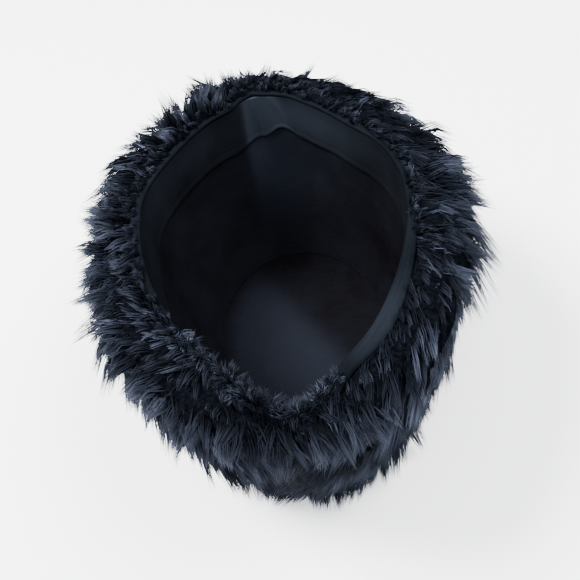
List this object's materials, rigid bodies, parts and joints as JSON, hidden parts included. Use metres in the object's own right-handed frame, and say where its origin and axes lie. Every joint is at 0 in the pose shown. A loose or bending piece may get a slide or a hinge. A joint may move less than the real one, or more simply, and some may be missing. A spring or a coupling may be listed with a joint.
{
  "type": "cossack hat",
  "caption": "Tall oval fur hat with a deep dark pile in locks, an open lined hollow, a sweatband and a welted rim, lying on its crown.",
  "frame": {"origin": "under the middle of the hat, on the surface that its crown lies on", "axes": "+Z from the crown up out of the opening, +Y towards the back of the hat, X across its width"},
  "size_m": [0.232, 0.2874, 0.1343],
  "materials": {
    "fur": "deep-pile fur in pointed locks, blue-black with a cool sheen",
    "lining": "plain woven lining, black with a soft sheen",
    "band_cloth": "smooth folded cloth, dark slate"
  },
  "bodies": {
    "root": {"fur_side": "fur", "fur_crown": "fur", "crown_lining": "lining", "side_lining": "lining", "sweatband": "band_cloth", "rim_welt": "band_cloth"}
  },
  "joints": []
}
